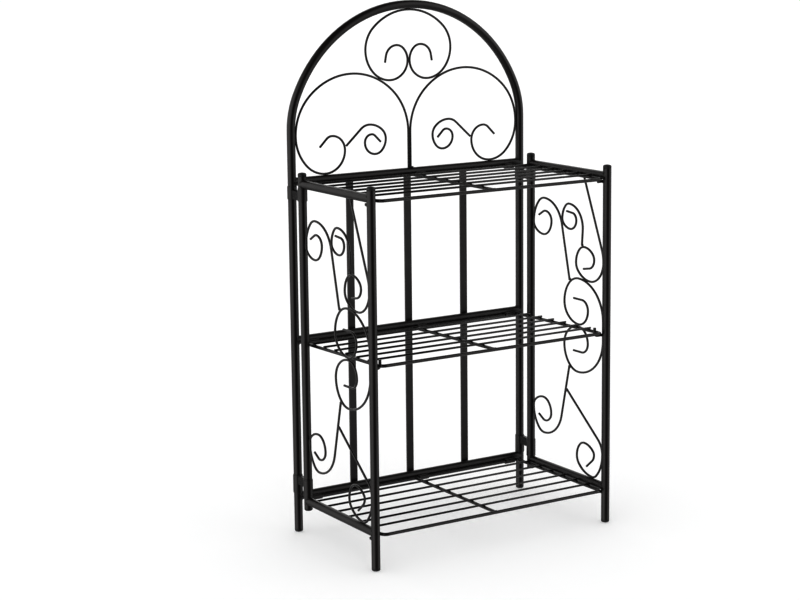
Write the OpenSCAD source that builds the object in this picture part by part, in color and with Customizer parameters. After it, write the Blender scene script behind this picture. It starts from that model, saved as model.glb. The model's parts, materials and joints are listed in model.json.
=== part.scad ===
// Folding plant stand of tube and wire.
// An arched back frame carries two scrollwork side panels on vertical hinges
// and three wire shelves that hinge on its cross rails.
// The origin is on the floor under the middle of the stand.
// X is the width, Y points to the back and Z is up.

/* [Overall] */
// Width over the hinge straps
overall_width = 445; // [425:1:470]
// Depth from the front legs to the back of the flat bars
overall_depth = 250; // [240:1:265]
// Height of the top of the arch above the floor
overall_height = 830; // [820:1:850]

/* [Tubes, bars and wires] */
// Outer diameter of the legs, rails and arch
tube_diameter = 13; // [11:0.5:14]
// Wall of the tube
tube_wall = 1; // [0.6:0.1:2]
// Width of the three flat bars in the back
bar_width = 12; // [8:1:20]
// Thickness of the flat bars
bar_thickness = 3; // [1.5:0.5:4]
// Diameter of the wire in the scrolls
scroll_wire = 3.5; // [3:0.1:4]
// Diameter of the wire round each shelf
shelf_frame_wire = 5; // [4:0.5:5.5]
// Diameter of the wires across each shelf
shelf_cross_wire = 3.2; // [2:0.1:4]

/* [Back frame] */
// From the top rail's centre line to the top of the arch
arch_height = 272; // [262:1:285]
// Height of the bottom rail's centre line
bottom_rail_height = 58; // [50:1:65]
// Place of the middle rail between the other two, as a share
middle_rail_share = 0.502; // [0.48:0.002:0.52]
// From where the legs begin to bend up to the arch's top, at its centre line
arch_bend_height = 187.5; // [180:0.5:195]
// Radius of the arch's two shoulders
arch_shoulder_radius = 135; // [110:1:160]
// How far the flat bars run past the outer rails' centre lines
bar_overrun = 4; // [0:1:6]

/* [Hinge straps] */
// From the axis of the arch leg to the hinge axis of a side panel
hinge_spacing = 32.5; // [30:0.5:36]
// Wall of the rings round the two legs
strap_wall = 1; // [0.8:0.1:1.5]
// Height of the upper strap
upper_strap_height = 19; // [12:1:30]
// Height of the lower strap
lower_strap_height = 28; // [16:1:36]
// Height of the web that joins the two rings
strap_web_height = 14; // [8:1:16]
// Thickness of that web
strap_web_thickness = 6; // [3:0.5:8]
// Running clearance of a pivot, on the radius
pivot_clearance = 0.05; // [0.02:0.01:0.1]
// Clearance between parts that rest or slide on each other
seat_clearance = 0.3; // [0.2:0.05:0.5]

/* [Side panels] */
// How far the panel legs rise above the top rail's centre line
leg_rise = 18; // [16:1:24]
// How far the rear leg reaches below the bottom rail's centre line
rear_leg_drop = 12; // [10:1:20]
// Diameter of the pegs that the shelves rest on
peg_diameter = 4.5; // [3.5:0.5:5]
// How far a peg reaches inside the shelf's side wire
peg_reach = 3.5; // [2:0.5:8]
// Height of the rounded head on a top cap
cap_height = 6; // [5:0.5:8]
// Height of the foot below the end of the tube
foot_height = 5; // [4:0.5:8]
// Height of the plug's head below the rear leg
rear_plug_height = 4; // [3.5:0.5:8]
// Length of a plug's shank inside the tube
plug_depth = 12; // [8:1:20]
// Rounding of the edge of caps and feet
plug_round = 2.5; // [1:0.5:3]

/* [Arch scrolls] */
// The arch height that the heights in this section are given for
scroll_arch_height = 272; // [262:1:285]
// Widths of the large scroll's quarter turns, after the first
large_widths = [101.5, 52, 35.5, 23]; // [15:0.5:120]
// Heights of the large scroll's quarter turns
large_heights = [97, 92, 61, 35, 23]; // [15:0.5:120]
// Widths of the crown scroll's first, second and last quarter turn
crown_widths = [79.5, 45, 20.5]; // [15:0.5:100]
// Heights of the crown scroll's quarter turns, after the first
crown_heights = [48.5, 30.5, 24]; // [15:0.5:60]
// Widths of the small scroll's quarter turns
small_widths = [30, 19.5, 19, 12.5]; // [8:0.5:40]
// Heights of the small scroll's quarter turns
small_heights = [23.5, 23.5, 19, 12.5]; // [8:0.5:40]
// From the small scroll's root to the top of its curl, across and up
small_reach = [42.5, 30.5]; // [25:0.5:60]
// Radius of the small scroll's shoulder
small_shoulder = 23; // [15:1:30]

/* [Room for the panel scrolls] */
// The depth from leg to leg that the widths of all panel scrolls are given for
scroll_panel_depth = 201.5; // [190:0.5:215]
// The height from rail to rail that their heights are given for
scroll_panel_height = 500; // [480:1:520]

/* [Long scroll in the side panels] */
// Half of the straight stretch along the front leg
long_straight = 15; // [5:1:25]
// Widths of the long scroll's quarter turns
long_widths = [64, 37, 37.5, 24.5]; // [15:0.5:80]
// Heights of its first, second and last quarter turn
long_heights = [61.5, 41.5, 25]; // [15:0.5:80]

/* [Rear scrolls in the side panels] */
// How far the rear scroll touches the rear leg from mid height
rear_offset = 155; // [140:1:170]
// Widths of the rear scroll's quarter turns
rear_widths = [29, 26.5, 22, 16.5]; // [10:0.5:40]
// Heights of the rear scroll's quarter turns
rear_heights = [41.5, 18.5, 24, 15]; // [10:0.5:50]
// Radius of its shoulder
rear_shoulder = 49; // [35:1:60]
// Where its tail meets the long scroll, as an angle round that loop
rear_tail_angle = 130; // [115:1:150]

/* [Front scrolls in the side panels] */
// Widths of the upper front scroll's quarter turns
upper_widths = [33.5, 37, 21.5, 25.5]; // [12:0.5:45]
// Heights of the upper front scroll's quarter turns
upper_heights = [35, 26.5, 27, 18]; // [12:0.5:45]
// Radius of its bend beside the front leg
upper_shoulder = 52; // [35:1:60]
// How far behind the front leg its tail meets the top rail
upper_tail_reach = 50; // [35:1:65]
// Widths of the lower front scroll's quarter turns
lower_widths = [26.5, 40, 19.5, 25.5]; // [12:0.5:45]
// Heights of the lower front scroll's quarter turns
lower_heights = [41.5, 28, 24, 15]; // [12:0.5:45]
// Radius of its bend beside the front leg
lower_shoulder = 30; // [20:1:45]
// Where its tail leaves the lower rear scroll's tail, as a share of that tail
lower_tail_share = 0.45; // [0.3:0.05:0.8]

/* [Inner scroll in the side panels] */
// Height of its rear touching point above mid height
inner_offset = 169; // [160:1:180]
// Widths of the inner scroll's quarter turns
inner_widths = [18, 21, 16]; // [10:0.5:25]
// Heights of the inner scroll's quarter turns
inner_heights = [25.5, 15, 15.5]; // [10:0.5:30]
// Radius of its shoulder
inner_shoulder = 36; // [28:1:45]
// Where its tail meets the upper front scroll, as an angle round that loop
inner_tail_angle = 108; // [95:1:125]

/* [Shelves] */
// Gap between a shelf's side wire and the panel legs
shelf_side_gap = 2.5; // [1:0.1:10]
// How far a shelf lies below the centre line of its rail
shelf_drop = 4; // [3.7:0.1:6]
// How far the middle shelf's pegs lift its front wire
middle_shelf_lift = 5; // [0:0.5:8]
// How far the front wire lies in front of the front legs' axis
shelf_front_reach = 3.5; // [0:0.5:4]
// Radius of the front corners of a shelf
shelf_front_corner = 9; // [6:0.5:12]
// Radius of the rear corners of a shelf
shelf_rear_corner = 6; // [4:0.5:8]
// Number of wires across a shelf
cross_wire_count = 6; // [4:1:9]
// How far the cross wires run past the side wires
cross_wire_overrun = 0.7; // [0:0.1:0.8]
// Length of a hinge sleeve
sleeve_length = 18; // [10:1:24]
// Outer diameter of a hinge sleeve
sleeve_diameter = 8; // [7.5:0.5:9]
// From a rear corner of the shelf to the outer hinge sleeve
sleeve_corner_gap = 1.5; // [0.5:0.5:40]
// From the middle of the stand to the inner hinge sleeve
inner_sleeve_offset = 14; // [12:1:40]

/* [Hidden] */
$fn = 48;

tube_colour = "#2b2a29";
wire_colour = "#232221";
plug_colour = "#1a1a1a";
tube_r = tube_diameter / 2;
bore_r = tube_r - tube_wall;
wire_r = scroll_wire / 2;
frame_r = shelf_frame_wire / 2;
cross_r = shelf_cross_wire / 2;
left = -1;
right = 1;
clockwise = -1;
anticlockwise = 1;
// Half gap between two wires that are welded side by side
twin_gap = 0.1;
// How far a wire's cut end stands off the wire that it is welded to
butt_lift = wire_r / 2;
// How far a lapped piece of wire reaches into its neighbour, and how much thinner it is
joint_lap = 0.5;
joint_slack = 0.04;

// Planes and axes of the frame
frame_x = overall_width / 2 - strap_wall - tube_r;
back_y = overall_depth / 2 - bar_thickness - tube_r;
front_y = tube_r - overall_depth / 2;
hinge_y = back_y - hinge_spacing;
panel_depth = hinge_y - front_y;
top_rail_height = overall_height - arch_height;
rail_to_rail = top_rail_height - bottom_rail_height;
middle_rail_height = bottom_rail_height + middle_rail_share * rail_to_rail;
rail_heights = [top_rail_height, middle_rail_height, bottom_rail_height];
// How much the scrolls stretch to fill an arch or a panel of another size
arch_stretch = arch_height / scroll_arch_height;
panel_stretch = rail_to_rail / scroll_panel_height;
depth_stretch = panel_depth / scroll_panel_depth;
// The arch's crown is one arc that runs smoothly into both shoulders
arch_rise = arch_bend_height * arch_stretch;
arch_shoulder_height = overall_height - tube_r - arch_rise;
arch_shoulder_x = frame_x - arch_shoulder_radius;
arch_crown_radius =
  (pow(arch_rise, 2) + pow(arch_shoulder_x, 2) - pow(arch_shoulder_radius, 2))
  / (2 * (arch_rise - arch_shoulder_radius));
arch_crown_centre_z = overall_height - tube_r - arch_crown_radius;
arch_shoulder_sweep = atan2(arch_shoulder_height - arch_crown_centre_z, arch_shoulder_x);
leg_top_z = top_rail_height + leg_rise;
leg_mid_z = middle_rail_height;

// Places of the shelves
side_wire_x = frame_x - tube_r - shelf_side_gap - frame_r;
sleeve_offset = side_wire_x - shelf_rear_corner - sleeve_corner_gap - sleeve_length / 2;
sleeve_distance = tube_r + sleeve_diameter / 2;
pivot_y = back_y - sqrt(pow(sleeve_distance, 2) - pow(shelf_drop, 2));
shelf_front_y = front_y - shelf_front_reach;
shelf_reach = pivot_y - shelf_front_y;
cross_pitch = shelf_reach / (cross_wire_count + 1);
shelf_lifts = [0, middle_shelf_lift, 0];
function shelf_tilt(lift) = asin(lift / shelf_reach);

// Two radii that join into a quarter turn of the given size.
// "along" is measured with the wire's heading before the turn, "across" after it.
function turn_radii(along, across) =
  let (near = sin(45), far = 1 - cos(45), span = near * near - far * far)
  [(near * along - far * across) / span, (near * across - far * along) / span];
function heading(angle) = [cos(angle), sin(angle)];
// Angle round a circle at which a straight line from a point runs into it
function tangent_angle(point, centre, radius, winding) =
  let (away = point - centre)
  atan2(away[1], away[0]) + winding * acos(radius / norm(away));
function full_turn(angle) = angle - 360 * floor(angle / 360);

// Moves a wire to its start and heading.
// A wire is drawn from the origin along X and bends left, so one that winds right is mirrored.
module wire_from(start, angle, winding)
  translate([start[0], start[1], 0])
    rotate([0, 0, angle])
      mirror([0, winding == clockwise ? 1 : 0, 0])
        children();

// A straight stretch of wire. What follows goes on from its end.
module run(length, diameter = scroll_wire) {
  rotate([0, 90, 0])
    cylinder(h = length, d = diameter);
  translate([length, 0, 0])
    children();
}

// A bend to the left. What follows goes on from its end.
// A lapped bend is a hair thinner and reaches a little way into both neighbours.
module bend(radius, sweep, diameter = scroll_wire, lap = 0) {
  lap_angle = asin(lap / radius);
  translate([0, radius, 0]) {
    rotate([0, 0, -90 - lap_angle])
      rotate_extrude(angle = sweep + 2 * lap_angle)
        translate([radius, 0])
          circle(d = lap > 0 ? diameter - joint_slack : diameter);
    rotate([0, 0, sweep])
      translate([0, -radius, 0])
        children();
  }
}

// The straight end of a scroll, lapped into the bend before it
module end_run(length)
  translate([-joint_lap, 0, 0])
    run(length + joint_lap, scroll_wire - joint_slack);

// Quarter turns that wind inwards and end in a short tip, [radius, sweep, straight length].
// "level" says whether the wire runs level where the first turn begins.
module curl(level, widths, heights, tip, turn = 0) {
  along = level ? widths[turn] : heights[turn];
  across = level ? heights[turn] : widths[turn];
  radii = turn_radii(along, across);
  bend(radii[0], 45)
    bend(radii[1], 45, lap = joint_lap)
      if (turn + 1 < len(widths))
        curl(!level, widths, heights, tip, turn + 1);
      else
        bend(tip[0], tip[1])
          end_run(tip[2]);
}

// A shoulder and a straight tail, drawn backwards from where a curl starts
module tail(root, start, angle, winding, radius) {
  centre = start + radius * heading(angle + 90 * winding);
  meets = tangent_angle(root, centre, radius, winding);
  wire_from(start, angle, winding)
    mirror([1, 0, 0])
      bend(radius, full_turn(winding * (angle - meets) - 90))
        end_run(sqrt(pow(norm(root - centre), 2) - pow(radius, 2)));
}

// Stands the drawing plane up in the plane of the arch
module in_back_plane() {
  translate([0, back_y, 0])
    rotate([90, 0, 0])
      children();
}

// Stands the drawing plane up in a side panel, measured forward from the hinge axis
module in_panel_plane(side) {
  translate([side * frame_x, hinge_y, 0])
    rotate([90, 0, -90])
      children();
}

module upright_tube(low, high) {
  translate([0, 0, low])
    difference() {
      cylinder(h = high - low, r = tube_r);
      translate([0, 0, -1])
        cylinder(h = high - low + 2, r = bore_r);
    }
}

// A level tube that is cut to fit round the two upright tubes at its ends
module coped_rail(from, to, z) {
  reach = to - from;
  translate([from[0], from[1], z])
    rotate([0, 0, atan2(reach[1], reach[0])])
      difference() {
        rotate([0, 90, 0])
          cylinder(h = norm(reach), r = tube_r);
        translate([-1, 0, 0])
          rotate([0, 90, 0])
            cylinder(h = norm(reach) + 2, r = bore_r);
        for (end = [0, norm(reach)])
          translate([end, 0, -tube_diameter])
            cylinder(h = 2 * tube_diameter, r = tube_r);
      }
}

// A plug with a rounded head above z = 0 and its shank below
module plug(head) {
  rotate_extrude() {
    square([tube_r, head - plug_round]);
    square([tube_r - plug_round, head]);
    translate([tube_r - plug_round, head - plug_round])
      intersection() {
        circle(r = plug_round);
        square(plug_round);
      }
    translate([0, -plug_depth])
      square([bore_r - pivot_clearance, plug_depth]);
  }
}

// Solid round bar along the arch and both legs. The crown laps into the shoulders.
module arch_bar(low, diameter) {
  for (turned = [0, 1])
    mirror([turned, 0, 0])
      wire_from([frame_x, low], 90, anticlockwise)
        run(arch_shoulder_height - low, diameter)
          bend(arch_shoulder_radius, arch_shoulder_sweep, diameter);
  crown_start = [0, arch_crown_centre_z] + arch_crown_radius * heading(arch_shoulder_sweep);
  wire_from(crown_start, 90 + arch_shoulder_sweep, anticlockwise)
    bend(arch_crown_radius, 180 - 2 * arch_shoulder_sweep, diameter, lap = joint_lap);
}

// Arch with both legs, bent from one tube
module arch_tube() color(tube_colour)
  in_back_plane()
    difference() {
      arch_bar(foot_height, tube_diameter);
      arch_bar(foot_height - 1, 2 * bore_r);
    }

module foot(x, y) color(plug_colour)
  translate([x, y, foot_height])
    mirror([0, 0, 1])
      plug(foot_height);

module back_rail(z) color(tube_colour)
  coped_rail([-frame_x, back_y], [frame_x, back_y], z);

module flat_bar(x) color(tube_colour)
  translate([x - bar_width / 2, back_y + tube_r, bottom_rail_height - bar_overrun])
    cube([bar_width, bar_thickness, top_rail_height - bottom_rail_height + 2 * bar_overrun]);

// Large scroll: rises beside its twin, touches the arch's leg and sits on the top rail
large_rises = arch_stretch * large_heights;
large_bottom_z = top_rail_height + tube_r + wire_r;
large_outer_z = large_bottom_z + large_rises[2];
large_top_z = large_outer_z + large_rises[1];
large_outer_x = frame_x - tube_r - wire_r;
large_top_x = large_outer_x - large_widths[0];
large_spine_x = wire_r + twin_gap;
large_spine_z = large_top_z - large_rises[0];
large_crest_r = turn_radii(large_rises[0], large_top_x - large_spine_x)[1];
large_crest_z = large_top_z - large_crest_r;
large_inner_x = large_outer_x - large_widths[1] - large_widths[2];
large_inner_z = large_bottom_z + large_rises[3];
large_tip = [14, 45, 17];

module large_scroll(side) color(wire_colour)
  in_back_plane()
    mirror([side == left ? 1 : 0, 0, 0])
      wire_from([large_spine_x, top_rail_height + tube_r], 90, clockwise)
        run(large_spine_z - top_rail_height - tube_r)
          curl(
            false, concat([large_top_x - large_spine_x], large_widths), large_rises, large_tip
          );

// Crown scroll: hangs from the top of the arch and rests on both large scrolls
crown_top_z = overall_height - tube_diameter - wire_r;
crown_bottom_x = crown_widths[0] - crown_widths[1];
crown_rises = arch_stretch * crown_heights;
crown_low_r = turn_radii(crown_rises[0], crown_widths[1])[1];
crown_rest_z = sqrt(
  pow(large_crest_r + crown_low_r + scroll_wire, 2) - pow(large_top_x - crown_bottom_x, 2)
);
crown_bottom_z = large_crest_z + crown_rest_z - crown_low_r;
crown_first_rise = crown_top_z - crown_bottom_z - crown_rises[0];
crown_tip = [20, 80, 10];

module crown_scroll() color(wire_colour)
  in_back_plane()
    for (turned = [0, 1])
      mirror([turned, 0, 0])
        wire_from([0, crown_top_z], 0, clockwise)
          curl(
            true,
            [crown_widths[0], crown_widths[1], crown_bottom_x - wire_r - twin_gap, crown_widths[2]],
            concat([crown_first_rise], crown_rises), crown_tip
          );

// Small scroll: springs from the large scroll's inner turn
small_root_rise = 6;
small_root = [large_inner_x - wire_r - butt_lift, large_inner_z + small_root_rise];
small_tip = [9, 45, 14];

module small_scroll(side) color(wire_colour)
  in_back_plane()
    mirror([side == left ? 1 : 0, 0, 0]) {
      top = small_root + [-small_reach[0], small_reach[1]];
      tail(small_root, top, 180, anticlockwise, small_shoulder);
      wire_from(top, 180, anticlockwise)
        curl(true, small_widths, small_heights, small_tip);
    }

// Hinge strap: one ring is welded to the arch leg, the panel's leg turns in the other
module hinge_strap(side, low, height, web_low) color(tube_colour)
  translate([side * frame_x, 0, 0])
    difference() {
      union() {
        for (y = [back_y, hinge_y])
          translate([0, y, low])
            cylinder(h = height, r = tube_r + strap_wall);
        translate([-strap_web_thickness / 2, hinge_y, web_low])
          cube([strap_web_thickness, hinge_spacing, strap_web_height]);
      }
      translate([0, back_y, low - 1])
        cylinder(h = height + 2, r = tube_r);
      translate([0, hinge_y, low - 1])
        cylinder(h = height + 2, r = tube_r + pivot_clearance);
    }

upper_strap_z = top_rail_height - tube_r - seat_clearance - upper_strap_height;
lower_strap_z = bottom_rail_height + tube_r + seat_clearance;

module upper_hinge_strap(side)
  hinge_strap(side, upper_strap_z, upper_strap_height, upper_strap_z);

module lower_hinge_strap(side)
  hinge_strap(
    side, lower_strap_z, lower_strap_height, lower_strap_z + lower_strap_height - strap_web_height
  );

// Sleeves on the front of a back rail, in which the shelf's rear wire turns
module hinge_sleeves(rail_z) color(tube_colour)
  for (x = [-sleeve_offset, inner_sleeve_offset, sleeve_offset])
    translate([x - sleeve_length / 2, pivot_y, rail_z - shelf_drop])
      rotate([0, 90, 0])
        difference() {
          cylinder(h = sleeve_length, d = sleeve_diameter);
          translate([0, 0, -1])
            cylinder(h = sleeve_length + 2, r = frame_r + pivot_clearance);
        }

module rear_leg(side) color(tube_colour)
  translate([side * frame_x, hinge_y, 0])
    upright_tube(bottom_rail_height - rear_leg_drop, leg_top_z - cap_height);

module front_leg(side) color(tube_colour)
  translate([side * frame_x, front_y, 0])
    upright_tube(foot_height, leg_top_z - cap_height);

module panel_rail(side, z) color(tube_colour)
  coped_rail([side * frame_x, hinge_y], [side * frame_x, front_y], z);

module leg_caps(side) color(plug_colour)
  for (y = [hinge_y, front_y])
    translate([side * frame_x, y, leg_top_z - cap_height])
      plug(cap_height);

module rear_leg_plug(side) color(plug_colour)
  translate([side * frame_x, hinge_y, bottom_rail_height - rear_leg_drop])
    mirror([0, 0, 1])
      plug(rear_plug_height);

// Pegs behind the front leg that carry the shelves' side wires.
// The middle one stops short of the long scroll, which lies in the plane of the legs.
module shelf_pegs(side) color(tube_colour) {
  short_x = frame_x - wire_r - seat_clearance;
  outer_xs = [frame_x + tube_r, short_x, frame_x + tube_r];
  inner_x = side_wire_x - peg_reach;
  for (i = [0:2]) {
    beside = max(0, frame_x - outer_xs[i]);
    peg_y = front_y + sqrt(pow(tube_r, 2) - pow(beside, 2)) + peg_diameter / 2;
    wire_z = rail_heights[i] - shelf_drop + (pivot_y - peg_y) * tan(shelf_tilt(shelf_lifts[i]));
    translate([0, peg_y, wire_z - frame_r - seat_clearance - peg_diameter / 2])
      mirror([side == left ? 1 : 0, 0, 0])
        translate([inner_x, 0, 0])
          rotate([0, 90, 0])
            cylinder(h = outer_xs[i] - inner_x, d = peg_diameter);
  }
}

// Long scroll: lies along the front leg with a loop at each end.
// In a panel, the first coordinate runs forward from the hinge axis.
front_touch = panel_depth - tube_r - wire_r;
rear_touch = tube_r + wire_r;
long_spans = depth_stretch * long_widths;
long_rises = panel_stretch * long_heights;
long_top = [front_touch - long_spans[0], leg_mid_z + long_straight + long_rises[0]];
long_crest_r = turn_radii(long_rises[0], long_spans[0])[1];
long_loop_r = turn_radii(long_spans[1], long_rises[1])[0];
long_close = long_straight + long_rises[0] - long_rises[1] - wire_r - twin_gap;
long_tip = [16, 90, 21];

module long_scroll(side) color(wire_colour)
  in_panel_plane(side)
    for (turned = [0, 1])
      translate([front_touch, leg_mid_z, 0])
        mirror([0, turned, 0])
          wire_from([0, 0], 90, anticlockwise)
            run(long_straight)
              curl(
                false, long_spans,
                [long_rises[0], long_rises[1], long_close, long_rises[2]], long_tip
              );

// Rear scrolls: lean on the rear leg, and their tails end on the long scroll
rear_spans = depth_stretch * rear_widths;
rear_bend_r = depth_stretch * rear_shoulder;
rear_rises = panel_stretch * rear_heights;
rear_top = [
  rear_touch + rear_spans[0], leg_mid_z + panel_stretch * rear_offset + rear_rises[0]
];
rear_root = long_top - [0, long_loop_r]
  + (long_loop_r + wire_r + butt_lift) * heading(rear_tail_angle);
rear_centre = rear_top - [0, rear_bend_r];
rear_tip = [12, 30, 13];

module rear_curve() {
  tail(rear_root, rear_top, 180, anticlockwise, rear_bend_r);
  wire_from(rear_top, 180, anticlockwise)
    curl(true, rear_spans, rear_rises, rear_tip);
}

module upper_rear_scroll(side) color(wire_colour)
  in_panel_plane(side)
    rear_curve();

module lower_rear_scroll(side) color(wire_colour)
  in_panel_plane(side)
    translate([0, 2 * leg_mid_z, 0])
      mirror([0, 1, 0])
        rear_curve();

// Upper front scroll: rests on the long scroll and hangs from the top rail
upper_spans = depth_stretch * upper_widths;
upper_bend_r = depth_stretch * upper_shoulder;
upper_rises = panel_stretch * upper_heights;
upper_low_r = turn_radii(upper_spans[1], upper_rises[1])[0];
upper_low_x = front_touch - upper_spans[0];
upper_rest = sqrt(
  pow(upper_low_r + long_crest_r + scroll_wire, 2) - pow(upper_low_x - long_top[0], 2)
);
upper_low_z = long_top[1] - long_crest_r + upper_rest - upper_low_r;
upper_side = [front_touch, upper_low_z + upper_rises[0]];
upper_root = [
  front_touch - depth_stretch * upper_tail_reach, top_rail_height - tube_r - butt_lift
];
upper_tip = [15, 80, 15];

module upper_front_scroll(side) color(wire_colour)
  in_panel_plane(side) {
    tail(upper_root, upper_side, -90, clockwise, upper_bend_r);
    wire_from(upper_side, -90, clockwise)
      curl(false, upper_spans, upper_rises, upper_tip);
  }

// Lower front scroll: sits on the bottom rail, and its tail ends on the lower rear scroll
lower_spans = depth_stretch * lower_widths;
lower_bend_r = depth_stretch * lower_shoulder;
lower_rises = panel_stretch * lower_heights;
lower_side = [front_touch, bottom_rail_height + tube_r + wire_r + lower_rises[0]];
rear_meets = tangent_angle(rear_root, rear_centre, rear_bend_r, anticlockwise);
rear_tail_end = rear_centre + rear_bend_r * heading(rear_meets);
rear_share = rear_root + lower_tail_share * (rear_tail_end - rear_root);
lower_root = [rear_share[0], 2 * leg_mid_z - rear_share[1]]
  + (wire_r + butt_lift) * [cos(rear_meets), -sin(rear_meets)];
lower_tip = [14, 50, 18];

module lower_front_scroll(side) color(wire_colour)
  in_panel_plane(side) {
    tail(lower_root, lower_side, -90, clockwise, lower_bend_r);
    wire_from(lower_side, -90, clockwise)
      curl(false, lower_spans, lower_rises, lower_tip);
  }

// Inner scroll: leans on the upper rear scroll's shoulder and stands on the front one
inner_spans = depth_stretch * inner_widths;
inner_bend_r = depth_stretch * inner_shoulder;
inner_rises = panel_stretch * inner_heights;
inner_z = leg_mid_z + panel_stretch * inner_offset;
inner_low_r = turn_radii(inner_rises[1], inner_spans[1])[0];
inner_lean = sqrt(
  pow(rear_bend_r + inner_low_r + scroll_wire, 2) - pow(inner_z - rear_centre[1], 2)
);
inner_side = [rear_centre[0] + inner_lean - inner_low_r, inner_z];
inner_top = inner_side + [inner_spans[0], inner_rises[0]];
upper_crest = upper_side
  + [upper_spans[2] - upper_spans[0] - upper_spans[1],
     upper_rises[1] + upper_rises[2] - upper_rises[0]];
upper_crest_r = turn_radii(upper_rises[2], upper_spans[2])[1];
inner_root = upper_crest - [0, upper_crest_r]
  + (upper_crest_r + wire_r + butt_lift) * heading(inner_tail_angle);
inner_tip = [11, 85, 15];

module inner_scroll(side) color(wire_colour)
  in_panel_plane(side) {
    tail(inner_root, inner_top, 180, anticlockwise, inner_bend_r);
    wire_from(inner_top, 180, anticlockwise)
      curl(true, inner_spans, inner_rises, inner_tip);
  }

// Places a shelf, drawn level at z = 0, on its rail.
// Its front is lifted by turning it about the rear wire.
module on_rail(rail_z, lift = 0) color(wire_colour)
  translate([0, pivot_y, rail_z - shelf_drop])
    rotate([-shelf_tilt(lift), 0, 0])
      children();

module top_shelf()
  on_rail(top_rail_height)
    children();

module middle_shelf()
  on_rail(middle_rail_height, middle_shelf_lift)
    children();

module bottom_shelf()
  on_rail(bottom_rail_height)
    children();

// Wire round a shelf. Its rear stretch turns in the hinge sleeves.
module shelf_frame() {
  side_run = shelf_reach - shelf_front_corner - shelf_rear_corner;
  front_half = side_wire_x - shelf_front_corner;
  rear_half = side_wire_x - shelf_rear_corner;
  translate([-front_half, -shelf_reach, 0])
    run(2 * front_half, shelf_frame_wire)
      bend(shelf_front_corner, 90, shelf_frame_wire)
        run(side_run, shelf_frame_wire)
          bend(shelf_rear_corner, 90, shelf_frame_wire)
            run(2 * rear_half, shelf_frame_wire)
              bend(shelf_rear_corner, 90, shelf_frame_wire)
                run(side_run, shelf_frame_wire)
                  bend(shelf_front_corner, 90, shelf_frame_wire);
}

// Wires that lie across the side wires and the brace
module shelf_cross_wires() {
  length = 2 * (side_wire_x + frame_r + cross_wire_overrun);
  for (i = [1:cross_wire_count])
    translate([-length / 2, -i * cross_pitch, frame_r + cross_r])
      run(length, shelf_cross_wire);
}

// Wire from the front to the rear under the cross wires
module shelf_brace()
  translate([0, frame_r - shelf_reach, 0])
    rotate([0, 0, 90])
      run(shelf_reach - shelf_frame_wire, shelf_frame_wire);

arch_tube();
foot(-frame_x, back_y);  // left_arch_foot
foot(frame_x, back_y);  // right_arch_foot
back_rail(top_rail_height);  // back_top_rail
back_rail(middle_rail_height);  // back_middle_rail
back_rail(bottom_rail_height);  // back_bottom_rail
flat_bar(-frame_x / 2);  // left_flat_bar
flat_bar(0);  // centre_flat_bar
flat_bar(frame_x / 2);  // right_flat_bar
crown_scroll();
large_scroll(left);  // left_large_scroll
large_scroll(right);  // right_large_scroll
small_scroll(left);  // left_small_scroll
small_scroll(right);  // right_small_scroll
upper_hinge_strap(left);  // left_upper_hinge_strap
lower_hinge_strap(left);  // left_lower_hinge_strap
upper_hinge_strap(right);  // right_upper_hinge_strap
lower_hinge_strap(right);  // right_lower_hinge_strap
hinge_sleeves(top_rail_height);  // top_shelf_hinge_sleeves
hinge_sleeves(middle_rail_height);  // middle_shelf_hinge_sleeves
hinge_sleeves(bottom_rail_height);  // bottom_shelf_hinge_sleeves
rear_leg(left);  // left_rear_leg
front_leg(left);  // left_front_leg
panel_rail(left, top_rail_height);  // left_panel_top_rail
panel_rail(left, bottom_rail_height);  // left_panel_bottom_rail
upper_rear_scroll(left);  // left_upper_rear_scroll
inner_scroll(left);  // left_inner_scroll
upper_front_scroll(left);  // left_upper_front_scroll
long_scroll(left);  // left_long_scroll
lower_rear_scroll(left);  // left_lower_rear_scroll
lower_front_scroll(left);  // left_lower_front_scroll
shelf_pegs(left);  // left_shelf_pegs
leg_caps(left);  // left_leg_caps
foot(-frame_x, front_y);  // left_front_foot
rear_leg_plug(left);  // left_rear_leg_plug
rear_leg(right);  // right_rear_leg
front_leg(right);  // right_front_leg
panel_rail(right, top_rail_height);  // right_panel_top_rail
panel_rail(right, bottom_rail_height);  // right_panel_bottom_rail
upper_rear_scroll(right);  // right_upper_rear_scroll
inner_scroll(right);  // right_inner_scroll
upper_front_scroll(right);  // right_upper_front_scroll
long_scroll(right);  // right_long_scroll
lower_rear_scroll(right);  // right_lower_rear_scroll
lower_front_scroll(right);  // right_lower_front_scroll
shelf_pegs(right);  // right_shelf_pegs
leg_caps(right);  // right_leg_caps
foot(frame_x, front_y);  // right_front_foot
rear_leg_plug(right);  // right_rear_leg_plug
top_shelf() shelf_frame();  // top_shelf_frame
top_shelf() shelf_cross_wires();  // top_shelf_cross_wires
top_shelf() shelf_brace();  // top_shelf_brace
middle_shelf() shelf_frame();  // middle_shelf_frame
middle_shelf() shelf_cross_wires();  // middle_shelf_cross_wires
middle_shelf() shelf_brace();  // middle_shelf_brace
bottom_shelf() shelf_frame();  // bottom_shelf_frame
bottom_shelf() shelf_cross_wires();  // bottom_shelf_cross_wires
bottom_shelf() shelf_brace();  // bottom_shelf_brace
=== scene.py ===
# %% [markdown]
# A plant stand of black tube and wire: an arched back frame with scrollwork, two side
# panels on vertical hinges and three wire shelves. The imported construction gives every
# tube and wire its true shape, so this script gives the stand its finish, and the small
# things that a welder, a coating booth and a moulding press leave behind.

# %% Load the frame
import json
import math

import bmesh
import bpy
from mathutils import Matrix, Vector
from mathutils.bvhtree import BVHTree

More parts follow.
